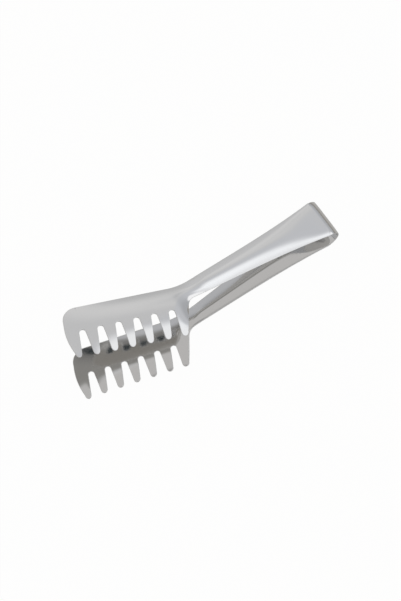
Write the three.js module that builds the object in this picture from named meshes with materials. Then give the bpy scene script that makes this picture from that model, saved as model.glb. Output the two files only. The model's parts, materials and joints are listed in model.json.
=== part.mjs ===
// Spaghetti tongs: one strip of stainless steel, folded round a spring bow into two arms that
// mirror each other. Each arm is a tapering handle with its edges pressed down, which runs into a
// comb: a plate turned to the side and pressed to a shallow trough, with seven round-tipped teeth.
// The strip is drawn flat in (s, t): s runs from the bow along the arm, t across it, away from
// the teeth. It is then pressed, bent round the bow and given its thickness; the teeth come to
// lie towards +Y and the bow towards -X.
import * as THREE from 'three';

// The sheet and the spring bow, in millimetres and degrees.
const SHEET = 0.9;
const BOW_RADIUS = 9.1; // to the middle of the sheet
const BOW_WIDTH = 28.7;
const ARM_SLOPE = 9.6; // each arm against the plane between the arms

// The handle: its edges narrow in a curve from the bow to the neck.
const HANDLE_LENGTH = 112; // from the bow to the turn at the neck
const NECK_WIDTH = 11.9;
const BOW_TAPER = 0.143; // narrowing of each edge for each millimetre, at the bow
const NECK_TAPER = 0.062; // and at the neck
const EDGE_LEAN = 24; // slope of the pressed edges, here and at the rear of the comb
const LEAF_POWER = 5; // section at the bow: flat, with turned edges
const RIDGE_POWER = 1.25; // section towards the neck: a roof
const RIDGE_RUN = 15; // length over which one changes to the other
const RIDGE_ROUND = 0.2; // roundness of the ridge, for each half width
const FLAT_LEAF = 6; // flat length of the handle next to the bow
const NECK_EASE = 11; // reach of the curve in the far edge, each way from the turn
const NECK_FILLET = 7; // between the near edge and the last tooth

// The comb, measured along its row of teeth and across it, from the turn at the neck.
const COMB_TURN = 17.6; // the row of teeth against the handle
const SPINE_OFFSET = 4.7; // from the handle's middle line to the spine edge
const PLATE_WIDTH = 17.6; // from the spine edge to the notch roots
const TOOTH_LENGTH = 18.5; // from the notch roots to the tips
const TOOTH_COUNT = 7;
const TOOTH_PITCH = 12.17;
const FIRST_NOTCH = 14.95; // from the turn to the notch nearest the handle
const NOTCH_WIDTH = 4.3; // across the round root of a notch
const TIP_WIDTH = 4.8; // across a tooth where its round tip starts
const REAR_TOOTH = 12.7; // from the first notch back to the comb's rear edge
const REAR_RAKE = 16.5; // lean of that edge
const REAR_MOUTH = 3; // from the first notch's middle to the rear tooth, where its tip starts
const FRONT_TOOTH = 11.1; // from the last notch to the front of the comb
const FRONT_RADIUS = 44.5; // of the long curve of the front edge
const FRONT_CORNER = 10; // between the front edge and the spine
const FRONT_TIP = 3.2; // height of the front tooth's round tip
const COMB_CROWN = 4.4; // depth of the trough
const CROWN_CENTRE = 18; // from the turn to the deepest place of the trough
const CROWN_REACH = 80; // half the length over which the trough is deep
const PRESS_BEHIND = 16; // reach of the change from handle to trough, back from the turn
const PRESS_AHEAD = 13; // and forward
const END_TWIST = 1.1; // lift of the front tooth's tip, over the last notch
const REAR_PRESS = 11; // width over which the comb's rear edge is pressed

// Lines on which the strip is divided, and how finely it is drawn.
const SPLIT_GAP = 0.3;
const COMB_SPLIT = 12; // from the turn back to the joint of handle and comb
const ACROSS = 8;
const TOOTH_COLUMNS = 4;
const FILLET_CELLS = 4;
const HANDLE_STEP = 5.5;
const BOW_STEP = 1.6;

const rad = THREE.MathUtils.degToRad;
const lerp = THREE.MathUtils.lerp;
const smoothstep = THREE.MathUtils.smoothstep;
const slope = rad(ARM_SLOPE);
const turn = rad(COMB_TURN);
const rake = Math.tan(rad(REAR_RAKE));
const quarterArc = BOW_RADIUS * (Math.PI / 2 - slope); // bow, from its rear line to one arm
const hingeArc = quarterArc / 2; // the middle of that arc, where the arm swings
const rootLine = PLATE_WIDTH - SPINE_OFFSET;
const tipLine = rootLine + TOOTH_LENGTH;
const tipGap = (TOOTH_PITCH - TIP_WIDTH) / 2; // half a notch, where it opens between two tips
const lastNotch = FIRST_NOTCH + (TOOTH_COUNT - 2) * TOOTH_PITCH;
const frontMost = lastNotch + FRONT_TOOTH;
const rearFoot = FIRST_NOTCH - REAR_TOOTH; // rear edge, on the line of the notch roots
const combSplit = HANDLE_LENGTH - COMB_SPLIT;

// A smooth curve between two heights with given slopes at its ends.
function ease(x, x0, y0, m0, x1, y1, m1) {
  const run = x1 - x0;
  const k = (x - x0) / run;
  const rise = (3 - 2 * k) * k * k;
  return y0 * (1 - rise) + y1 * rise + run * k * (1 - k) * ((1 - k) * m0 - k * m1);
}

// Comb coordinates (a along the row of teeth, b towards the tips) and strip coordinates.
function toStrip(a, b) {
  const s = HANDLE_LENGTH + a * Math.cos(turn) + b * Math.sin(turn);
  const t = a * Math.sin(turn) - b * Math.cos(turn);
  return [s, t];
}

function toComb(s, t) {
  const a = (s - HANDLE_LENGTH) * Math.cos(turn) + t * Math.sin(turn);
  const b = (s - HANDLE_LENGTH) * Math.sin(turn) - t * Math.cos(turn);
  return [a, b];
}

function halfWidth(s) {
  if (s < 0) return BOW_WIDTH / 2;
  return ease(s, 0, BOW_WIDTH / 2, -BOW_TAPER, HANDLE_LENGTH, NECK_WIDTH / 2, -NECK_TAPER);
}

function spineEdge(s) {
  return (s - HANDLE_LENGTH) * Math.tan(turn) + SPINE_OFFSET / Math.cos(turn);
}

// The far edge follows the handle, bends at the neck and goes on as the comb's spine.
function farEdge(s) {
  const from = HANDLE_LENGTH - NECK_EASE;
  const to = HANDLE_LENGTH + NECK_EASE;
  if (s <= from) return halfWidth(s);
  if (s >= to) return spineEdge(s);
  const lean = halfWidth(from) - halfWidth(from - 1);
  return ease(s, from, halfWidth(from), lean, to, spineEdge(to), Math.tan(turn));
}

// Height of the handle over its pressed edges: a power of the distance from the middle line,
// rounded there. The edges are turned from the back of the bow on, alike on both arms.
function handleCrown(s, t) {
  const place = Math.abs(s + quarterArc) - quarterArc;
  const half = halfWidth(Math.min(place, HANDLE_LENGTH));
  const power = RIDGE_POWER + (LEAF_POWER - RIDGE_POWER) / (1 + (Math.max(place, 0) / RIDGE_RUN) ** 2);
  const lean = Math.tan(rad(EDGE_LEAN)) * smoothstep(place, -quarterArc, 0);
  const atEdge = 1 + RIDGE_ROUND ** 2;
  const fall = atEdge ** (power / 2) - ((t / half) ** 2 + RIDGE_ROUND ** 2) ** (power / 2);
  return half * lean * fall / (power * atEdge ** (power / 2 - 1));
}

function rearEdge(b) {
  return rearFoot + rake * (b - rootLine);
}

// Depth of the comb's pressed rear edge, which fades to the neck and to the rear tooth's tip.
function rearPress(a, b) {
  const inside = THREE.MathUtils.clamp((a - rearEdge(b)) / REAR_PRESS, -1, 1);
  const depth = REAR_PRESS / 2 * Math.tan(rad(EDGE_LEAN)) * (1 - inside) ** 2;
  return depth * smoothstep(b, 0, REAR_PRESS) * (1 - smoothstep(b, rootLine, tipLine));
}

// Height of the pressed form over the flat strip, outwards: the handle's crown, then the trough.
function pressed(s, t) {
  const crown = handleCrown(s, t);
  const share = smoothstep(s, HANDLE_LENGTH - PRESS_BEHIND, HANDLE_LENGTH + PRESS_AHEAD);
  if (share === 0) return crown;
  const [a, b] = toComb(s, t);
  const half = (PLATE_WIDTH + TOOTH_LENGTH) / 2;
  const y = (b + SPINE_OFFSET) / half - 1;
  const x = (2 * a - FIRST_NOTCH - lastNotch) / (lastNotch - FIRST_NOTCH);
  const along = (a - CROWN_CENTRE) / CROWN_REACH;
  const trough = COMB_CROWN * (1 - y * y) * (1 - along * along);
  const twist = x > 0 && y > 0 ? END_TWIST * y ** 2 * x ** 3 : 0;
  return lerp(crown, trough + twist - rearPress(a, b), share);
}

// Middle of the sheet on the upper arm; behind s = 0 the strip runs round the bow.
function middle(s, t) {
  const angle = Math.PI / 2 + slope - Math.min(s, 0) / BOW_RADIUS;
  const out = BOW_RADIUS + pressed(s, t);
  const along = Math.max(s, 0);
  const x = out * Math.cos(angle) + along * Math.cos(slope);
  const z = out * Math.sin(angle) + along * Math.sin(slope);
  return new THREE.Vector3(x, -t, z);
}

function outward(s, t) {
  const step = 0.01;
  const ds = middle(s + step, t).sub(middle(s - step, t));
  const dt = middle(s, t + step).sub(middle(s, t - step));
  return dt.cross(ds).normalize();
}

// A closed solid from patches of the flat strip: rows of (s, t) points that share their borders.
function sheetSolid(patches) {
  const places = [];
  const known = new Map();
  const indexOf = ([s, t]) => {
    const key = `${s.toFixed(4)},${t.toFixed(4)}`;
    if (!known.has(key)) known.set(key, places.push([s, t]) - 1);
    return known.get(key);
  };
  const faces = [];
  const addFace = (...corners) => {
    const loop = corners.filter((c, i) => c !== corners[(i + 1) % corners.length]);
    for (let i = 2; i < loop.length; i++) faces.push([loop[0], loop[i - 1], loop[i]]);
  };
  for (const rows of patches) {
    const ids = rows.map((row) => row.map(indexOf));
    for (let i = 1; i < ids.length; i++) {
      for (let j = 1; j < ids[i].length; j++) {
        addFace(ids[i - 1][j - 1], ids[i][j - 1], ids[i][j], ids[i - 1][j]);
      }
    }
  }
  const borders = new Map();
  for (const face of faces) {
    face.forEach((from, i) => {
      const to = face[(i + 1) % 3];
      if (!borders.delete(`${to},${from}`)) borders.set(`${from},${to}`, [from, to]);
    });
  }
  const count = places.length;
  const outer = places.map(([s, t]) => middle(s, t).addScaledVector(outward(s, t), SHEET / 2));
  const inner = places.map(([s, t]) => middle(s, t).addScaledVector(outward(s, t), -SHEET / 2));
  const index = [];
  for (const [p, q, r] of faces) index.push(p, q, r, count + p, count + r, count + q);
  for (const [p, q] of borders.values()) index.push(p, count + p, q, q, count + p, count + q);
  const geometry = new THREE.BufferGeometry().setFromPoints([...outer, ...inner]);
  geometry.setIndex(index);
  geometry.computeVertexNormals();
  return geometry;
}

// One row of strip points between two borders, numbered from the far edge to the near edge.
function rowBetween(from, to, cells) {
  return Array.from({ length: cells + 1 }, (_, j) => {
    return [lerp(from[0], to[0], j / cells), lerp(from[1], to[1], j / cells)];
  });
}

function steps(from, to, step) {
  const cells = Math.ceil((to - from) / step);
  return Array.from({ length: cells + 1 }, (_, i) => lerp(from, to, i / cells));
}

// The strip across its whole width, over a stretch of its length.
function stripRow(s) {
  return rowBetween([s, farEdge(s)], [s, -halfWidth(s)], ACROSS);
}

function handleSolid() {
  const bend = steps(-hingeArc + SPLIT_GAP / 2, 0, BOW_STEP);
  const crowned = steps(FLAT_LEAF, combSplit - SPLIT_GAP / 2, HANDLE_STEP);
  return sheetSolid([[...bend, ...crowned].map(stripRow)]);
}

// The bow's own piece lies between the two hinge lines; past the rear line s counts on.
function bowSolid() {
  const reach = quarterArc - hingeArc - SPLIT_GAP / 2;
  const rows = steps(-quarterArc - reach, -quarterArc + reach, BOW_STEP);
  return sheetSolid([rows.map(stripRow)]);
}

// Side of a tooth, as (a, b) points from the notch root to the start of the tip, where the notch has
// opened to mouth on this side.
function notchSide(at, side, mouth) {
  const half = NOTCH_WIDTH / 2;
  const tipStart = tipLine - TIP_WIDTH / 2;
  const round = [0, 30, 60, 90].map((angle) => {
    return [at + side * half * Math.sin(rad(angle)), rootLine + half * (1 - Math.cos(rad(angle)))];
  });
  const flank = [0.25, 0.5, 0.75, 1].map((k) => {
    return [at + side * lerp(half, mouth, k), lerp(rootLine + half, tipStart, k)];
  });
  return [...round, ...flank];
}

const frontCentre = [frontMost - FRONT_RADIUS, rootLine];

function frontEdge(b) {
  return frontCentre[0] + Math.sqrt(FRONT_RADIUS ** 2 - (b - frontCentre[1]) ** 2);
}

// The near edge of the neck turns into the rear edge of the last tooth with a fillet.
function neckFillet() {
  const nearAt = (s) => toComb(s, -halfWidth(s));
  let corner = HANDLE_LENGTH;
  for (let i = 0; i < 20; i++) {
    const [a, b] = nearAt(corner);
    corner += rearEdge(b) - a;
  }
  const reach = NECK_FILLET * Math.tan((Math.PI / 2 - turn - rad(REAR_RAKE)) / 2);
  const point = nearAt(corner);
  const endLevel = point[1] + reach * Math.cos(rad(REAR_RAKE));
  const curve = new THREE.QuadraticBezierCurve(
    new THREE.Vector2(...nearAt(corner - reach)),
    new THREE.Vector2(...point),
    new THREE.Vector2(rearEdge(endLevel), endLevel),
  );
  return { start: corner - reach, points: curve.getPoints(FILLET_CELLS).map((p) => p.toArray()) };
}

// Rows of a tooth between its two sides; the last rows swell to the round tip.
function toothRows(front, rear, tip) {
  const last = front.length - 1;
  return front.map((from, i) => {
    const to = rear[i];
    const swell = Math.max(0, (i - last + 2) / 2);
    return Array.from({ length: TOOTH_COLUMNS + 1 }, (_, j) => {
      const k = j / TOOTH_COLUMNS;
      const angle = Math.PI * k;
      const a = lerp(from[0], to[0], lerp(k, (1 - Math.cos(angle)) / 2, swell));
      const b = lerp(from[1], to[1], k) + swell ** 2 * Math.sin(angle) * tip;
      return toStrip(a, b);
    });
  });
}

// Spine edge of the front tooth: straight, then half way round the corner.
function frontSpine(k) {
  const b = FRONT_CORNER - SPINE_OFFSET;
  const inner = FRONT_RADIUS - FRONT_CORNER;
  const a = frontCentre[0] + Math.sqrt(inner ** 2 - (b - frontCentre[1]) ** 2);
  if (k <= 0.5) return [lerp(lastNotch, a, k * 2), -SPINE_OFFSET];
  const bend = (k - 0.5) * Math.PI / 2;
  return [a + FRONT_CORNER * Math.sin(bend), b - FRONT_CORNER * Math.cos(bend)];
}

// A column of the front tooth's plate: straight at the notch, along the front edge at the front.
function frontColumn(k, root) {
  const far = frontSpine(k);
  const near = toComb(...root);
  const centre = FRONT_CORNER - SPINE_OFFSET;
  return rowBetween(far, near, ACROSS).map(([a, b]) => {
    const round = Math.sqrt(Math.max(0, FRONT_CORNER ** 2 - Math.max(0, centre - b) ** 2));
    const edge = frontEdge(Math.max(b, centre)) - FRONT_CORNER + round;
    const chord = lerp(frontSpine(1)[0], frontEdge(rootLine), (b - far[1]) / (near[1] - far[1]));
    return toStrip(a + k * k * (edge - chord) * (b > far[1] ? 1 : 0), b);
  });
}

function combSolid() {
  const notches = Array.from({ length: TOOTH_COUNT - 1 }, (_, i) => FIRST_NOTCH + i * TOOTH_PITCH);
  const fillet = neckFillet();
  const levels = notchSide(0, 1, tipGap).map(([, b]) => b);
  const foot = fillet.points.at(-1)[1]; // level where the last tooth leaves the fillet
  const rearSide = levels.map((b) => {
    const level = lerp(foot, levels.at(-1), (b - rootLine) / (levels.at(-1) - rootLine));
    return [rearEdge(level), level];
  });
  const frontSide = levels.map((b) => [frontEdge(b), b]);
  const teeth = [];
  for (let i = 0; i < TOOTH_COUNT; i++) {
    const isFront = i === TOOTH_COUNT - 1;
    const isRear = i === 0;
    const front = isFront ? frontSide : notchSide(notches[i], -1, isRear ? REAR_MOUTH : tipGap);
    const back = isRear ? rearSide : notchSide(notches[i - 1], 1, tipGap);
    teeth.push(toothRows(front, back, isFront ? FRONT_TIP : TIP_WIDTH / 2));
  }

  // near border of the plate, from the joint with the handle to the front, and the far border
  const start = combSplit + SPLIT_GAP / 2;
  const neck = steps(start, fillet.start, HANDLE_STEP).map((s) => [s, -halfWidth(s)]);
  const rearRoots = [...teeth[0][0]].reverse();
  const near = [...neck, ...fillet.points.slice(1, -1).map((p) => toStrip(...p)), ...rearRoots];
  const farEnd = toStrip(notches[0], -SPINE_OFFSET)[0];
  const columns = near.map((point, i) => {
    const far = lerp(start, farEnd, i / (near.length - 1));
    return rowBetween([far, farEdge(far)], point, ACROSS);
  });
  teeth.slice(1).forEach((rows, i) => {
    const roots = [...rows[0]].reverse().slice(1);
    roots.forEach((root, j) => {
      const k = (j + 1) / TOOTH_COLUMNS;
      if (i === TOOTH_COUNT - 2) columns.push(frontColumn(k, root));
      else {
        const far = toStrip(lerp(notches[i], notches[i + 1], k), -SPINE_OFFSET);
        columns.push(rowBetween(far, root, ACROSS));
      }
    });
  });
  return sheetSolid([columns, ...teeth]);
}

function steel(colour) {
  return new THREE.MeshStandardMaterial({ color: colour, metalness: 1, roughness: 0.25 });
}

function piece(name, geometry, colour) {
  const mesh = new THREE.Mesh(geometry, steel(colour));
  mesh.name = name;
  return mesh;
}

// Slope of the line on which the lower arm lies, from its place near the bow to its comb.
function restSlope(handle, comb) {
  const lowest = (geometry, lean) => {
    const place = geometry.getAttribute('position');
    let least = Infinity;
    for (let i = 0; i < place.count; i++) {
      least = Math.min(least, -place.getZ(i) - lean * place.getX(i));
    }
    return least;
  };
  let steep = -1;
  let level = 1;
  for (let i = 0; i < 40; i++) {
    const lean = (steep + level) / 2;
    if (lowest(comb, lean) > lowest(handle, lean)) steep = lean;
    else level = lean;
  }
  return Math.atan(steep);
}

const handle = handleSolid();
const comb = combSolid();
const upperArm = new THREE.Group();
upperArm.add(piece('upper_handle', handle, 0xc9cbcd), piece('upper_comb', comb, 0xc9cbcd));
const lowerArm = new THREE.Group();
lowerArm.add(piece('lower_handle', handle, 0xbfc0c1), piece('lower_comb', comb, 0xbfc0c1));
lowerArm.scale.z = -1;

// The tongs lie on the lower arm, centred over the origin.
const lying = new THREE.Group();
lying.add(piece('spring_bow', bowSolid(), 0xb9babb), upperArm, lowerArm);
lying.rotation.y = restSlope(handle, comb);
const bounds = new THREE.Box3().setFromObject(lying, true);
const centre = bounds.getCenter(new THREE.Vector3());
lying.position.set(-centre.x, -centre.y, -bounds.min.z);

const tongs = new THREE.Group();
tongs.add(lying);
export default tongs;
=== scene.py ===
import json
import math

import bpy
import numpy as np
from mathutils import Matrix, Vector


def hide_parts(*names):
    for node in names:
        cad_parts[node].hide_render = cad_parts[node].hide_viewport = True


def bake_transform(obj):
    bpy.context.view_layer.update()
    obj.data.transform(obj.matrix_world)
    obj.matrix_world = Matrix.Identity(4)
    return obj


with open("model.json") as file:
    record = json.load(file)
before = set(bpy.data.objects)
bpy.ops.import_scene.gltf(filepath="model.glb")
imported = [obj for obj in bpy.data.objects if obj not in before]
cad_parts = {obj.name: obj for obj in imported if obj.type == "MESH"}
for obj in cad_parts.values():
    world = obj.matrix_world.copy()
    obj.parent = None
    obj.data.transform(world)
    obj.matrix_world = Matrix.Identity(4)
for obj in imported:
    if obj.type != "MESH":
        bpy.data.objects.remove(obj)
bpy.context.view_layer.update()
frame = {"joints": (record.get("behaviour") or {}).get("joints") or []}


# The spring bow: the middle of the strip, bent to a half circle. It is flat across at the back.
# It is plain stainless sheet, and its own bend is the spring and the hinge of both arms.
# The strip is measured flat, in millimetres: s from the bow along an arm, t away from the teeth.
MM = 0.001
SHEET = 0.9
BOW_RADIUS = 9.1
BOW_WIDTH = 28.7
ARM_SLOPE = math.radians(9.6)
QUARTER_ARC = BOW_RADIUS * (math.pi / 2 - ARM_SLOPE)
BOW_STEP = 0.4


def smooth(x, low, high):
    """A smooth step from 0 at low to 1 at high."""
    k = np.clip((x - low) / (high - low), 0, 1)
    return k * k * (3 - 2 * k)


def middle(s, t):
    """Middle of the sheet on the upper arm; behind s = 0 the strip runs round the bow."""
    angle = math.pi / 2 + ARM_SLOPE - np.minimum(s, 0) / BOW_RADIUS
    out = BOW_RADIUS + pressed(s, t)
    along = np.maximum(s, 0)
    x = out * np.cos(angle) + along * math.cos(ARM_SLOPE)
    z = out * np.sin(angle) + along * math.sin(ARM_SLOPE)
    return np.stack([x, -t, z], axis=-1)


def outward(s, t):
    """Unit normal of the pressed sheet on its outer face."""
    step = 0.01
    ds = middle(s + step, t) - middle(s - step, t)
    dt = middle(s, t + step) - middle(s, t - step)
    normal = np.cross(dt, ds)
    return normal / np.linalg.norm(normal, axis=-1, keepdims=True)


# The handle: the strip narrows in a curve from the bow to the neck. Its edges are pressed down, so
# that it is flat with turned edges next to the bow and more and more a roof towards the neck.
HANDLE_LENGTH = 112
NECK_WIDTH = 11.9
BOW_TAPER = 0.143
NECK_TAPER = 0.062
EDGE_LEAN = math.radians(24)
LEAF_POWER = 5
RIDGE_POWER = 1.25
RIDGE_RUN = 15
RIDGE_ROUND = 0.2
HANDLE_STEP = 1.2
ACROSS = 24


def ease(x, x0, y0, m0, x1, y1, m1):
    """A smooth curve between two heights with given slopes at its ends."""
    run = x1 - x0
    k = (x - x0) / run
    rise = (3 - 2 * k) * k * k
    return y0 * (1 - rise) + y1 * rise + run * k * (1 - k) * ((1 - k) * m0 - k * m1)


def half_width(s):
    wide = BOW_WIDTH / 2
    narrow = NECK_WIDTH / 2
    taper = ease(s, 0, wide, -BOW_TAPER, HANDLE_LENGTH, narrow, -NECK_TAPER)
    return np.where(s < 0, wide, taper)


def handle_crown(s, t):
    """Height over the pressed edges: a power of the distance from the middle line, rounded there."""
    s = np.abs(s + QUARTER_ARC) - QUARTER_ARC
    half = half_width(np.minimum(s, HANDLE_LENGTH))
    power = RIDGE_POWER + (LEAF_POWER - RIDGE_POWER) / (1 + (np.maximum(s, 0) / RIDGE_RUN) ** 2)
    lean = math.tan(EDGE_LEAN) * smooth(s, -QUARTER_ARC, 0)
    at_edge = 1 + RIDGE_ROUND ** 2
    fall = at_edge ** (power / 2) - ((t / half) ** 2 + RIDGE_ROUND ** 2) ** (power / 2)
    return half * lean * fall / (power * at_edge ** (power / 2 - 1))


# The comb: the strip's end, blanked with six round-rooted notches and turned to the side of the
# handle. It is pressed to a shallow trough, with its front tooth a little raised.
# It is measured along its row of teeth (a) and across it (b), from the turn at the neck.
COMB_TURN = math.radians(17.6)
SPINE_OFFSET = 4.7
PLATE_WIDTH = 17.6
TOOTH_LENGTH = 18.5
TOOTH_COUNT = 7
TOOTH_PITCH = 12.17
FIRST_NOTCH = 14.95
NOTCH_WIDTH = 4.3
TIP_WIDTH = 4.8
TIP_ROUND = 3
REAR_TOOTH = 12.7
REAR_RAKE = math.radians(16.5)
REAR_MOUTH = 3
FRONT_TOOTH = 11.1
FRONT_RADIUS = 44.5
FRONT_CORNER = 10
FRONT_TIP = 3.2
NECK_EASE = 11
NECK_FILLET = 10
COMB_CROWN = 4.4
CROWN_CENTRE = 18
CROWN_REACH = 80
PRESS_BEHIND = 16
PRESS_AHEAD = 13
END_TWIST = 1.1
REAR_PRESS = 11
ROOT_LINE = PLATE_WIDTH - SPINE_OFFSET
TIP_LINE = ROOT_LINE + TOOTH_LENGTH
LAST_NOTCH = FIRST_NOTCH + (TOOTH_COUNT - 2) * TOOTH_PITCH
COMB_SPLIT = 12
COMB_START = HANDLE_LENGTH - COMB_SPLIT
TOOTH_COLUMNS = 12


def to_strip(a, b):
    s = HANDLE_LENGTH + a * math.cos(COMB_TURN) + b * math.sin(COMB_TURN)
    t = a * math.sin(COMB_TURN) - b * math.cos(COMB_TURN)
    return np.stack(np.broadcast_arrays(s, t), axis=-1)


def to_comb(s, t):
    a = (s - HANDLE_LENGTH) * math.cos(COMB_TURN) + t * math.sin(COMB_TURN)
    b = (s - HANDLE_LENGTH) * math.sin(COMB_TURN) - t * math.cos(COMB_TURN)
    return a, b


def rear_press(a, b):
    """Depth of the pressed rear edge, which fades to the neck and to the rear tooth's tip."""
    rear = FIRST_NOTCH - REAR_TOOTH + math.tan(REAR_RAKE) * (b - ROOT_LINE)
    inside = np.clip((a - rear) / REAR_PRESS, -1, 1)
    depth = REAR_PRESS / 2 * math.tan(EDGE_LEAN) * (1 - inside) ** 2
    return depth * smooth(b, 0, REAR_PRESS) * (1 - smooth(b, ROOT_LINE, TIP_LINE))


def pressed(s, t):
    """Height of the pressed form over the flat strip, outwards."""
    crown = handle_crown(s, t)
    a, b = to_comb(s, t)
    y = 2 * (b + SPINE_OFFSET) / (PLATE_WIDTH + TOOTH_LENGTH) - 1
    x = (2 * a - FIRST_NOTCH - LAST_NOTCH) / (LAST_NOTCH - FIRST_NOTCH)
    along = (a - CROWN_CENTRE) / CROWN_REACH
    trough = COMB_CROWN * (1 - y ** 2) * (1 - along ** 2)
    twist = END_TWIST * np.maximum(y, 0) ** 2 * np.maximum(x, 0) ** 3
    share = smooth(s, HANDLE_LENGTH - PRESS_BEHIND, HANDLE_LENGTH + PRESS_AHEAD)
    return crown + (trough + twist - rear_press(a, b) - crown) * share


# The cut edge: the blank is tumbled after stamping, so its edges are a little round all the way.
# The faces of the sheet stop short of the outline by that radius.
EDGE_RADIUS = 0.3
EDGE_STEPS = 3
ROOT_ANGLES = (0, 20, 36, 50, 64, 78, 90)
FLANK_STEPS = 12
SWELL_ROWS = 5
FILLET_STEPS = 8
CORNER_TRIES = 20
NECK_STEPS = 9
PLACE_DIGITS = 4
SEAM_REACH = 0.001


def far_edge(s):
    """The far edge follows the handle, bends at the neck and goes on as the comb's spine."""
    offset = SPINE_OFFSET - EDGE_RADIUS
    start = HANDLE_LENGTH - NECK_EASE
    end = HANDLE_LENGTH + NECK_EASE
    spine = (s - HANDLE_LENGTH) * math.tan(COMB_TURN) + offset / math.cos(COMB_TURN)
    at_end = NECK_EASE * math.tan(COMB_TURN) + offset / math.cos(COMB_TURN)
    at_start = half_width(start) - EDGE_RADIUS
    lean = half_width(start) - half_width(start - 1)
    bend = ease(s, start, at_start, lean, end, at_end, math.tan(COMB_TURN))
    return np.where(s <= start, half_width(s) - EDGE_RADIUS, np.where(s >= end, spine, bend))


def near_edge(s):
    return EDGE_RADIUS - half_width(s)


def between(first, last, cells):
    """Rows of points from each first point to its last point."""
    share = np.linspace(0, 1, cells + 1)[:, None]
    return np.asarray(first)[..., None, :] * (1 - share) + np.asarray(last)[..., None, :] * share


def handle_patch():
    """The strip from the back of the bow to the neck, in rows across it."""
    bow_rows = np.linspace(-QUARTER_ARC, 0, round(QUARTER_ARC / BOW_STEP) + 1)
    arm_rows = np.linspace(0, COMB_START, round(COMB_START / HANDLE_STEP) + 1)
    s = np.concatenate([bow_rows, arm_rows[1:]])
    far = np.stack([s, far_edge(s)], axis=-1)
    near = np.stack([s, near_edge(s)], axis=-1)
    return between(far, near, ACROSS)


def notch_side(at, side, mouth):
    """Side of a tooth, as (a, b) points from the notch root to the start of the tip, where the
    notch has opened to mouth on this side."""
    half = NOTCH_WIDTH / 2 + EDGE_RADIUS
    centre = ROOT_LINE + NOTCH_WIDTH / 2
    gap = mouth + EDGE_RADIUS
    tip_start = TIP_LINE - TIP_ROUND
    angle = np.radians(ROOT_ANGLES)
    root = np.stack([at + side * half * np.sin(angle), centre - half * np.cos(angle)], axis=-1)
    share = np.linspace(0, 1, FLANK_STEPS + 1)[1:]
    flank_a = at + side * (half + (gap - half) * share)
    flank = np.stack([flank_a, centre + (tip_start - centre) * share], axis=-1)
    return np.concatenate([root, flank])


def front_edge(b):
    centre = LAST_NOTCH + FRONT_TOOTH - FRONT_RADIUS
    reach = FRONT_RADIUS - EDGE_RADIUS
    return centre + np.sqrt(reach ** 2 - (b - ROOT_LINE) ** 2)


def rear_edge(b):
    foot = FIRST_NOTCH - REAR_TOOTH + EDGE_RADIUS / math.cos(REAR_RAKE)
    return foot + math.tan(REAR_RAKE) * (b - ROOT_LINE)


def neck_fillet():
    """Where the neck's near edge leaves its line, and the curve into the rear tooth's edge."""
    corner = HANDLE_LENGTH
    for _ in range(CORNER_TRIES):
        a, b = to_comb(corner, near_edge(corner))
        corner += rear_edge(b) - a
    reach = NECK_FILLET * math.tan((math.pi / 2 - COMB_TURN - REAR_RAKE) / 2)
    point = np.array(to_comb(corner, near_edge(corner)))
    first = np.array(to_comb(corner - reach, near_edge(corner - reach)))
    level = point[1] + reach * math.cos(REAR_RAKE)
    last = np.array([rear_edge(level), level])
    k = np.linspace(0, 1, FILLET_STEPS + 1)[:, None]
    return corner - reach, first * (1 - k) ** 2 + 2 * point * k * (1 - k) + last * k ** 2


def tooth_patch(front, rear, tip):
    """Rows of a tooth between its two sides; the last rows swell to the round tip."""
    k = np.linspace(0, 1, TOOTH_COLUMNS + 1)
    height = tip - EDGE_RADIUS
    rows = []
    for i, (first, last) in enumerate(zip(front, rear)):
        swell = max(0, (i - len(front) + 1 + SWELL_ROWS) / SWELL_ROWS)
        across = k * (1 - swell) + (1 - np.cos(math.pi * k)) / 2 * swell
        a = first[0] + (last[0] - first[0]) * across
        b = first[1] + (last[1] - first[1]) * k + swell ** 2 * np.sin(math.pi * k) * height
        rows.append(to_strip(a, b))
    return np.array(rows)


def front_plate(roots):
    """Columns of the front tooth's plate: straight at the notch, along the front edge in front."""
    spine = SPINE_OFFSET - EDGE_RADIUS
    corner = FRONT_CORNER - EDGE_RADIUS
    centre_b = FRONT_CORNER - SPINE_OFFSET
    inner = FRONT_RADIUS - FRONT_CORNER
    centre_a = LAST_NOTCH + FRONT_TOOTH - FRONT_RADIUS
    centre_a += math.sqrt(inner ** 2 - (centre_b - ROOT_LINE) ** 2)
    columns = []
    for j, root in enumerate(roots):
        k = (j + 1) / TOOTH_COLUMNS
        bend = max(0, k - 0.5) * math.pi / 2
        straight = LAST_NOTCH + (centre_a - LAST_NOTCH) * min(1, k * 2)
        far = np.array([straight + corner * math.sin(bend), -spine])
        if k > 0.5:
            far[1] = centre_b - corner * math.cos(bend)
        near = np.array(to_comb(*root))
        a, b = np.moveaxis(between(far, near, ACROSS), -1, 0)
        round_part = np.sqrt(np.maximum(0, corner ** 2 - np.maximum(0, centre_b - b) ** 2))
        edge = front_edge(np.maximum(b, centre_b)) - corner + round_part
        top = centre_a + corner * math.sin(math.pi / 4)
        chord = top + (front_edge(near[1]) - top) * (b - far[1]) / (near[1] - far[1])
        columns.append(to_strip(a + k * k * (edge - chord) * (b > far[1]), b))
    return columns


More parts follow.
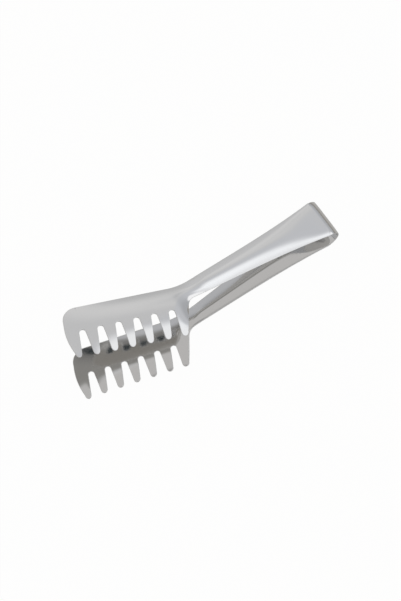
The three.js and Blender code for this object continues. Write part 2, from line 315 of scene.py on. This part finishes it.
def comb_patches():
    """The comb's plate, as columns from its far edge to the notch roots, and its teeth."""
    notches = FIRST_NOTCH + TOOTH_PITCH * np.arange(TOOTH_COUNT - 1)
    fillet_start, fillet = neck_fillet()
    tip_gap = (TOOTH_PITCH - TIP_WIDTH) / 2
    levels = notch_side(0, 1, tip_gap)[:, 1]
    foot = fillet[-1, 1]
    rear_levels = foot + (levels[-1] - foot) * (levels - levels[0]) / (levels[-1] - levels[0])
    teeth = []
    for i in range(TOOTH_COUNT):
        tip = FRONT_TIP
        front = np.stack([front_edge(levels), levels], axis=-1)
        rear = np.stack([rear_edge(rear_levels), rear_levels], axis=-1)
        if i < TOOTH_COUNT - 1:
            tip = TIP_ROUND
            front = notch_side(notches[i], -1, tip_gap if i > 0 else REAR_MOUTH)
        if i > 0:
            rear = notch_side(notches[i - 1], 1, tip_gap)
        teeth.append(tooth_patch(front, rear, tip))

    neck_s = np.linspace(COMB_START, fillet_start, NECK_STEPS + 1)
    neck = np.stack([neck_s, near_edge(neck_s)], axis=-1)
    near = [*neck, *to_strip(fillet[1:-1, 0], fillet[1:-1, 1]), *teeth[0][0][::-1]]
    end = to_strip(notches[0], EDGE_RADIUS - SPINE_OFFSET)[0]
    far_s = np.linspace(COMB_START, end, len(near))
    far = np.stack([far_s, far_edge(far_s)], axis=-1)
    columns = list(between(far, near, ACROSS))
    for i in range(1, TOOTH_COUNT):
        roots = teeth[i][0][::-1][1:]
        if i == TOOTH_COUNT - 1:
            columns += front_plate(roots)
            continue
        a = notches[i - 1] + TOOTH_PITCH * np.arange(1, TOOTH_COLUMNS + 1) / TOOTH_COLUMNS
        columns += list(between(to_strip(a, EDGE_RADIUS - SPINE_OFFSET), roots, ACROSS))
    return [np.array(columns), *teeth]


def solid_sheet(patches):
    """Closed sheet from patches that share their borders: its points, faces with their corner
    normals, and for each point its place on the flat strip and for each face whether it is cut edge."""
    places = []
    known = {}
    tops = []
    for patch in patches:
        ids = np.empty(patch.shape[:2], int)
        for at in np.ndindex(ids.shape):
            key = tuple(np.round(patch[at], PLACE_DIGITS))
            if key not in known:
                known[key] = len(places)
                places.append(patch[at])
            ids[at] = known[key]
        for i, j in np.ndindex(ids.shape[0] - 1, ids.shape[1] - 1):
            loop = [ids[i, j], ids[i + 1, j], ids[i + 1, j + 1], ids[i, j + 1]]
            loop = [v for k, v in enumerate(loop) if v != loop[k - 1]]
            if len(loop) > 2:
                tops.append(loop)

    places = np.array(places)
    count = len(places)
    half = SHEET / 2
    centre = middle(places[:, 0], places[:, 1])
    normal = outward(places[:, 0], places[:, 1])
    points = [*(centre + normal * half), *(centre - normal * half)]
    point_normals = [*normal, *-normal]
    point_places = [*places, *places]

    edges = {(p, q) for loop in tops for p, q in zip(loop, loop[1:] + loop[:1])}
    border = [(p, q) for p, q in edges if (q, p) not in edges]
    at_seam = places[:, 0] < -QUARTER_ARC + SEAM_REACH
    seam = [(p, q) for p, q in border if at_seam[p] and at_seam[q]]
    cut = [edge for edge in border if edge not in set(seam)]

    away = np.zeros((count, 3))
    for p, q in cut:
        side = np.cross(centre[q] - centre[p], normal[p] + normal[q])
        away[p] += side
        away[q] += side
    angles = np.radians(np.linspace(90, 0, EDGE_STEPS + 1)[1:])
    flat = half - EDGE_RADIUS
    profile = [(math.cos(k), math.sin(k), flat) for k in angles]
    profile += [(c, -r, -f) for c, r, f in reversed(profile)]
    chains = {}
    for v in sorted({v for edge in cut for v in edge}):
        out = away[v] - normal[v] * (away[v] @ normal[v])
        out /= np.linalg.norm(out)
        chains[v] = [v]
        for c, r, f in profile:
            chains[v].append(len(points))
            turned = out * c + normal[v] * r
            points.append(centre[v] + normal[v] * f + turned * EDGE_RADIUS)
            point_normals.append(turned)
            point_places.append(places[v])
        chains[v].append(count + v)

    faces = [*tops, *([count + v for v in reversed(loop)] for loop in tops)]
    sheet_faces = len(faces)
    for p, q in cut:
        for k in range(len(profile) + 1):
            faces.append([chains[q][k], chains[p][k], chains[p][k + 1], chains[q][k + 1]])
    corner_normals = [point_normals[v] for loop in faces for v in loop]
    rounded_faces = len(faces)
    for p, q in seam:
        faces.append([q, p, count + p, count + q])
    seam_ends = {p for p, q in seam} ^ {q for p, q in seam}
    for v in seam_ends:
        starts_seam = any(p == v for p, q in seam)
        faces.append(chains[v] if starts_seam else chains[v][::-1])
    for loop in faces[rounded_faces:]:
        corner_normals += [np.array([0.0, 0.0, -1.0])] * len(loop)
    is_edge = [0] * sheet_faces + [1] * (len(faces) - sheet_faces)
    return np.array(points), faces, np.array(corner_normals), np.array(point_places), is_edge


# The steel: bright rolled sheet, polished along the strip, with faint streaks from the polishing
# belt and a soft unevenness from handling. The cut edges are tumbled duller than the faces.
STEEL = (0.76, 0.76, 0.76, 1)
EDGE_STEEL = (0.8, 0.8, 0.8, 1)
STREAK_LENGTH = 50
STREAK_DETAIL = 3
PATCH_SCALE = 0.06
PATCH_DETAIL = 2
ARM_SHIFT = 3
FAINT_MARKS = 0.12
STRONG_MARKS = 0.42
RELIEF_STRENGTH = 0.2


def polishing_marks():
    """Node group: streaks along the strip and soft patches, as values round a half."""
    group = bpy.data.node_groups.new("polishing_marks", "ShaderNodeTree")
    group.interface.new_socket("Streak Width", in_out="INPUT", socket_type="NodeSocketFloat")
    group.interface.new_socket("Streaks", in_out="OUTPUT", socket_type="NodeSocketFloat")
    group.interface.new_socket("Patches", in_out="OUTPUT", socket_type="NodeSocketFloat")
    nodes, links = group.nodes, group.links
    given = nodes.new("NodeGroupInput")
    result = nodes.new("NodeGroupOutput")
    strip = nodes.new("ShaderNodeAttribute")
    strip.attribute_name = "strip"
    finer = nodes.new("ShaderNodeMath")
    finer.operation = "DIVIDE"
    finer.inputs[0].default_value = 1
    links.new(given.outputs["Streak Width"], finer.inputs[1])
    scale = nodes.new("ShaderNodeCombineXYZ")
    scale.inputs["X"].default_value = 1 / STREAK_LENGTH
    scale.inputs["Z"].default_value = ARM_SHIFT
    links.new(finer.outputs[0], scale.inputs["Y"])
    drawn = nodes.new("ShaderNodeVectorMath")
    drawn.operation = "MULTIPLY"
    links.new(strip.outputs["Vector"], drawn.inputs[0])
    links.new(scale.outputs[0], drawn.inputs[1])
    streaks = nodes.new("ShaderNodeTexNoise")
    streaks.inputs["Scale"].default_value = 1
    streaks.inputs["Detail"].default_value = STREAK_DETAIL
    links.new(drawn.outputs[0], streaks.inputs["Vector"])
    patches = nodes.new("ShaderNodeTexNoise")
    patches.inputs["Scale"].default_value = PATCH_SCALE
    patches.inputs["Detail"].default_value = PATCH_DETAIL
    links.new(strip.outputs["Vector"], patches.inputs["Vector"])
    links.new(streaks.outputs["Fac"], result.inputs["Streaks"])
    links.new(patches.outputs["Fac"], result.inputs["Patches"])
    return group


marks = polishing_marks()


def steel(name, colour, dull, bright, streak_width, relief):
    """Polished steel whose roughness runs from bright to dull with the polishing marks."""
    material = bpy.data.materials.new(name)
    material.use_nodes = True
    nodes, links = material.node_tree.nodes, material.node_tree.links
    shader = nodes["Principled BSDF"]
    shader.inputs["Base Color"].default_value = colour
    shader.inputs["Metallic"].default_value = 1
    polish = nodes.new("ShaderNodeGroup")
    polish.node_tree = marks
    polish.inputs["Streak Width"].default_value = streak_width
    both = nodes.new("ShaderNodeMath")
    both.operation = "MULTIPLY"
    links.new(polish.outputs["Streaks"], both.inputs[0])
    links.new(polish.outputs["Patches"], both.inputs[1])
    roughness = nodes.new("ShaderNodeMapRange")
    roughness.inputs["From Min"].default_value = FAINT_MARKS
    roughness.inputs["From Max"].default_value = STRONG_MARKS
    roughness.inputs["To Min"].default_value = bright
    roughness.inputs["To Max"].default_value = dull
    links.new(both.outputs[0], roughness.inputs["Value"])
    links.new(roughness.outputs["Result"], shader.inputs["Roughness"])
    bump = nodes.new("ShaderNodeBump")
    bump.inputs["Strength"].default_value = RELIEF_STRENGTH
    bump.inputs["Distance"].default_value = relief
    links.new(polish.outputs["Streaks"], bump.inputs["Height"])
    links.new(bump.outputs["Normal"], shader.inputs["Normal"])
    return material


polished_sheet = steel("polished_sheet", STEEL, dull=0.13, bright=0.06, streak_width=0.8, relief=2e-6)
tumbled_edge = steel("tumbled_edge", EDGE_STEEL, dull=0.34, bright=0.22, streak_width=0.3, relief=4e-6)


# The upper half of the strip: half the bow, the upper handle and its comb in one unbroken sheet.
# It lies where the two hinge lines of the bow put it.
hinges = {joint["child"]: Vector(joint["pos_m"]) for joint in frame["joints"]}
bow_up = (hinges["upper_arm"] - hinges["lower_arm"]).normalized()
bow_side = Vector((0, 1, 0))
bow_forward = bow_side.cross(bow_up)
arc_turn = QUARTER_ARC / BOW_RADIUS
hinge_radius = BOW_RADIUS * math.sin(arc_turn / 2) / (arc_turn / 2)
hinge_behind = hinge_radius * math.cos(arc_turn / 2) * MM
bow_centre = (hinges["upper_arm"] + hinges["lower_arm"]) / 2 + bow_forward * hinge_behind
lying = Matrix((bow_forward, bow_side, bow_up)).transposed()


def from_bow(points):
    """Places, in millimetres from the bow's centre, in the part's own frame."""
    return np.array(bow_centre) + np.asarray(points) * MM @ np.array(lying).T


def half_of_strip(name, side):
    """One arm with its half of the bow; side is 1 for the upper one and -1 for its mirror image."""
    points, faces, normals, places, is_edge = solid_sheet([handle_patch(), *comb_patches()])
    mirror = np.array([1, 1, side])
    if side < 0:
        corners = np.split(normals, np.cumsum([len(loop) for loop in faces])[:-1])
        normals = np.concatenate([part[::-1] for part in corners])
        faces = [loop[::-1] for loop in faces]
    mesh = bpy.data.meshes.new(name)
    mesh.from_pydata(from_bow(points * mirror).tolist(), [], faces)
    mesh.polygons.foreach_set("use_smooth", [True] * len(faces))
    mesh.polygons.foreach_set("material_index", is_edge)
    mesh.normals_split_custom_set((normals * mirror @ np.array(lying).T).tolist())
    strip = mesh.attributes.new("strip", "FLOAT_VECTOR", "POINT")
    strip.data.foreach_set("vector", np.insert(places, 2, side, axis=1).ravel())
    mesh.materials.append(polished_sheet)
    mesh.materials.append(tumbled_edge)
    piece = bpy.data.objects.new(name, mesh)
    bpy.context.scene.collection.objects.link(piece)
    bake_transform(piece)
    return piece


upper_half = half_of_strip("upper_half", 1)
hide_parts("spring_bow", "upper_handle", "upper_comb")

# The lower half of the strip: the mirror image of the upper half, joined to it at the back of
# the bow.
lower_half = half_of_strip("lower_half", -1)
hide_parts("lower_handle", "lower_comb")

# The light is a white tent round the tongs, without lamps: grey on the left, paler at the back, bright
# on the right, and open above, where the camera looks in. Each panel lies over the ones before it.
# A direction is told by how far it points to the right, to the back and to the top of the picture.
PICTURE_RIGHT = (-0.827, 0.562, 0)
PICTURE_AWAY = (-0.562, -0.827, 0)
LEFT_WALL = (0.588, 0.576, 0.565)
BACK_WALL = (0.66, 0.66, 0.665)
BACK_STRIP = (0.757, 0.753, 0.752)
LOW_WALL = (0.55, 0.55, 0.55)
SIDE_WALL = (0.645, 0.655, 0.683)
RIGHT_WALL = (0.84, 0.855, 0.885)
CORNER = (0.485, 0.495, 0.515)
WINDOW = (1.05, 1.06, 1.075)
BRIGHT_WINDOW = (1.17, 1.19, 1.22)
RIGHT_LOW = (1.15, 1.15, 1.16)
LEFT_LOW = (0.36, 0.355, 0.35)
NEAR_SIDE = (0.53, 0.535, 0.55)
OPENING = (0.28, 0.273, 0.258)
ROOM = (0.115, 0.115, 0.117)
ROOM_CENTRE = (0.006, -0.134, 0)
LENS = (0.03, 0.038, 0.042)
LEFT_FLAP = (0.585, 0.575, 0.565)
SIDE_WINDOW = (0.95, 0.95, 0.95)
TENT_FOOT = (0.3, 0.3, 0.3)
world = bpy.data.worlds.new("light_tent")
bpy.context.scene.world = world
world.use_nodes = True
tent = world.node_tree
direction = tent.nodes.new("ShaderNodeTexCoord")


def pointing(axis):
    """How far a direction points along an axis."""
    dot = tent.nodes.new("ShaderNodeVectorMath")
    dot.operation = "DOT_PRODUCT"
    dot.inputs[1].default_value = axis
    tent.links.new(direction.outputs["Generated"], dot.inputs[0])
    return dot.outputs["Value"]


def distance_from(tree, centre, place):
    distance = tree.nodes.new("ShaderNodeVectorMath")
    distance.operation = "DISTANCE"
    distance.inputs[1].default_value = centre
    tree.links.new(place, distance.inputs[0])
    return distance.outputs["Value"]


def ramp(tree, value, low, high):
    """A smooth step from 0 at low to 1 at high, which may be the lesser one."""
    step = tree.nodes.new("ShaderNodeMapRange")
    step.interpolation_type = "SMOOTHSTEP"
    step.inputs["From Min"].default_value = min(low, high)
    step.inputs["From Max"].default_value = max(low, high)
    step.inputs["To Min"].default_value = float(low > high)
    step.inputs["To Max"].default_value = float(low < high)
    tree.links.new(value, step.inputs["Value"])
    return step.outputs["Result"]


def product(tree, first, *others):
    for other in others:
        times = tree.nodes.new("ShaderNodeMath")
        times.operation = "MULTIPLY"
        tree.links.new(first, times.inputs[0])
        tree.links.new(other, times.inputs[1])
        first = times.outputs[0]
    return first


def panel(under, colour, *limits):
    """A panel over what is under it. A limit is a value, where the panel begins and where it is full."""
    layer = tent.nodes.new("ShaderNodeMix")
    layer.data_type = "RGBA"
    layer.inputs["B"].default_value = (*colour, 1)
    masks = [ramp(tent, *limit) for limit in limits]
    tent.links.new(product(tent, *masks), layer.inputs["Factor"])
    if isinstance(under, tuple):
        layer.inputs["A"].default_value = (*under, 1)
    else:
        tent.links.new(under, layer.inputs["A"])
    return layer.outputs["Result"]


to_right = pointing(PICTURE_RIGHT)
to_back = pointing(PICTURE_AWAY)
to_top = pointing((0, 0, 1))
overhead_place = tent.nodes.new("ShaderNodeCombineXYZ")
tent.links.new(to_right, overhead_place.inputs["X"])
tent.links.new(to_back, overhead_place.inputs["Y"])
from_room = distance_from(tent, ROOM_CENTRE, overhead_place.outputs[0])
window_depth = ((to_back, 0.39, 0.1), (to_back, -0.5, -0.3))
opening_width = ((to_right, -0.23, -0.17), (to_right, 0.15, 0.02))
opening_depth = ((to_back, -0.45, -0.32), (to_back, 0.47, 0.36))
flap_depth = ((to_back, 0.29, 0.23), (to_back, -0.2, -0.1))
overhead = (to_top, 0.3, 0.5)
inside = panel(LEFT_WALL, BACK_WALL, (to_right, -0.19, -0.13))
inside = panel(inside, BACK_STRIP, (to_right, 0.01, 0.07), (to_back, 0.63, 0.87))
inside = panel(inside, LOW_WALL, (to_back, 0.48, 0.62), (to_top, 0.44, -0.06))
inside = panel(inside, SIDE_WALL, (to_right, 0.3, 0.5))
inside = panel(inside, RIGHT_WALL, (to_right, 0.53, 0.67), (to_top, 0.6, 0.72))
inside = panel(inside, CORNER, (to_right, 0.11, 0.2), (to_top, 0.62, 0.12))
inside = panel(inside, WINDOW, (to_right, 0.27, 0.33), *window_depth, (to_top, 0.64, 0.7))
inside = panel(inside, BRIGHT_WINDOW, (to_right, 0.6, 0.68), *window_depth, (to_top, 0.66, 0.72))
inside = panel(inside, RIGHT_LOW, (to_right, 0.72, 0.8), (to_back, 0.46, 0.36), (to_top, 0.2, 0.32))
inside = panel(inside, LEFT_LOW, (to_right, -0.2, -0.3), (to_back, 0.5, 0.6), (to_top, 0.49, 0.4))
inside = panel(inside, NEAR_SIDE, (to_back, -0.03, -0.09), (to_right, 0.5, 0.44))
inside = panel(inside, OPENING, *opening_width, *opening_depth, overhead)
inside = panel(inside, ROOM, (from_room, 0.35, -0.09), overhead)
inside = panel(inside, LENS, (from_room, 0.11, 0.04), overhead)
inside = panel(inside, LEFT_FLAP, (to_right, -0.06, -0.12), *flap_depth)
inside = panel(inside, SIDE_WINDOW, (to_right, -0.6, -0.72), (to_back, -0.25, -0.4), (to_top, 0.2, 0.32))
inside = panel(inside, TENT_FOOT, (to_right, 0.3, 0.1), (to_back, 0.4, 0.1), (to_top, 0.16, 0.02))
tent_light = tent.nodes["Background"]
tent.links.new(inside, tent_light.inputs["Color"])
backdrop = tent.nodes.new("ShaderNodeBackground")
backdrop.inputs["Color"].default_value = (1, 1, 1, 1)
seen = tent.nodes.new("ShaderNodeLightPath")
mix = tent.nodes.new("ShaderNodeMixShader")
tent.links.new(seen.outputs["Is Camera Ray"], mix.inputs["Fac"])
tent.links.new(tent_light.outputs[0], mix.inputs[1])
tent.links.new(backdrop.outputs[0], mix.inputs[2])
tent.links.new(mix.outputs[0], tent.nodes["World Output"].inputs["Surface"])

# The floor is a plain pale sheet under the tongs, low enough for the lower arm to swing down. It shows
# white to the camera and keeps a faint shadow. The steel sees it as the tent lights it, with painted
# shade in a grey disc below the combs and a painted pool of paler light round it, fading far off.
FLOOR_COLOUR = (0.54, 0.512, 0.465, 1)
FLOOR_REACH = 3
FLOOR_LEVEL = -0.008
WHITE_STRENGTH = 1.03
CAMERA_WHITE = 0.94
STEEL_WHITE = 0.28
# Painted shade: a grey disc on the floor below the combs, seen only by the steel, stands in for the
# combs' shadow.
SHADE_PAINT_CENTRE = (0.118, -0.005, FLOOR_LEVEL)
SHADE_PAINT_INSIDE = 0.025
SHADE_PAINT_OUTSIDE = 0.085
# Painted light: the steel sees the floor paler in a pool out to here, round the painted shade.
LIGHT_POOL_INSIDE = 0.225
LIGHT_POOL_OUTSIDE = 0.4
floor_mesh = bpy.data.meshes.new("floor")
sides = ((-1, -1), (1, -1), (1, 1), (-1, 1))
corners = [(x * FLOOR_REACH, y * FLOOR_REACH, FLOOR_LEVEL) for x, y in sides]
floor_mesh.from_pydata(corners, [], [(0, 1, 2, 3)])
floor = bpy.data.objects.new("floor", floor_mesh)
bpy.context.scene.collection.objects.link(floor)
floor_paint = bpy.data.materials.new("floor_paint")
floor_paint.use_nodes = True
paint = floor_paint.node_tree
paint.nodes.remove(paint.nodes["Principled BSDF"])
lit = paint.nodes.new("ShaderNodeBsdfDiffuse")
lit.inputs["Color"].default_value = FLOOR_COLOUR
white = paint.nodes.new("ShaderNodeEmission")
white.inputs["Strength"].default_value = WHITE_STRENGTH
seen = paint.nodes.new("ShaderNodeLightPath")
position = paint.nodes.new("ShaderNodeNewGeometry")
distance = distance_from(paint, SHADE_PAINT_CENTRE, position.outputs["Position"])
# Masks of the painted shade below the combs and of the painted pool of light round it.
out_of_painted_shade = ramp(paint, distance, SHADE_PAINT_INSIDE, SHADE_PAINT_OUTSIDE)
inside_painted_pool = ramp(paint, distance, LIGHT_POOL_OUTSIDE, LIGHT_POOL_INSIDE)
mirrored = paint.nodes.new("ShaderNodeMath")
mirrored.operation = "MAXIMUM"
paint.links.new(seen.outputs["Is Glossy Ray"], mirrored.inputs[0])
paint.links.new(seen.outputs["Is Transmission Ray"], mirrored.inputs[1])
# Share of white the steel sees: the painted pool of light, left out in the painted shade.
painted_light_share = paint.nodes.new("ShaderNodeMath")
painted_light_share.operation = "MULTIPLY"
painted_light_share.inputs[1].default_value = STEEL_WHITE
paint.links.new(product(paint, mirrored.outputs[0], out_of_painted_shade, inside_painted_pool), painted_light_share.inputs[0])
white_share = paint.nodes.new("ShaderNodeMath")
white_share.operation = "MULTIPLY_ADD"
white_share.inputs[1].default_value = CAMERA_WHITE
paint.links.new(seen.outputs["Is Camera Ray"], white_share.inputs[0])
paint.links.new(painted_light_share.outputs[0], white_share.inputs[2])
mix = paint.nodes.new("ShaderNodeMixShader")
paint.links.new(white_share.outputs[0], mix.inputs["Fac"])
paint.links.new(lit.outputs[0], mix.inputs[1])
paint.links.new(white.outputs[0], mix.inputs[2])
paint.links.new(mix.outputs[0], paint.nodes["Material Output"].inputs["Surface"])
floor_mesh.materials.append(floor_paint)

# The camera looks steeply down on the tongs from their tooth side, through a long lens. Its place and
# its aim are measured from the bow's centre, as the strip is.
PHOTO_HEIGHT = 601
FOCUS_PIXELS = 1500
EYE = (308.1, 314.8, 961.3)
AIM = (98.43, 1.51, 0)
PICTURE_UP = (-0.51791, -0.77363, 0.36505)
SENSOR_WIDTH = 36
FAR_CLIP = 10
camera_data = bpy.data.cameras.new("camera")
camera_data.sensor_width = SENSOR_WIDTH
camera_data.lens = FOCUS_PIXELS / PHOTO_HEIGHT * SENSOR_WIDTH
camera_data.clip_end = FAR_CLIP
camera = bpy.data.objects.new("camera", camera_data)
eye, aim = (Vector(from_bow(point)) for point in (EYE, AIM))
back = (eye - aim).normalized()
up = lying @ Vector(PICTURE_UP)
right = up.cross(back).normalized()
up = back.cross(right)
camera.matrix_world = Matrix.Translation(eye) @ Matrix((right, up, back)).transposed().to_4x4()
bpy.context.scene.collection.objects.link(camera)
bpy.context.scene.camera = camera

bpy.context.scene.view_settings.view_transform = "Standard"
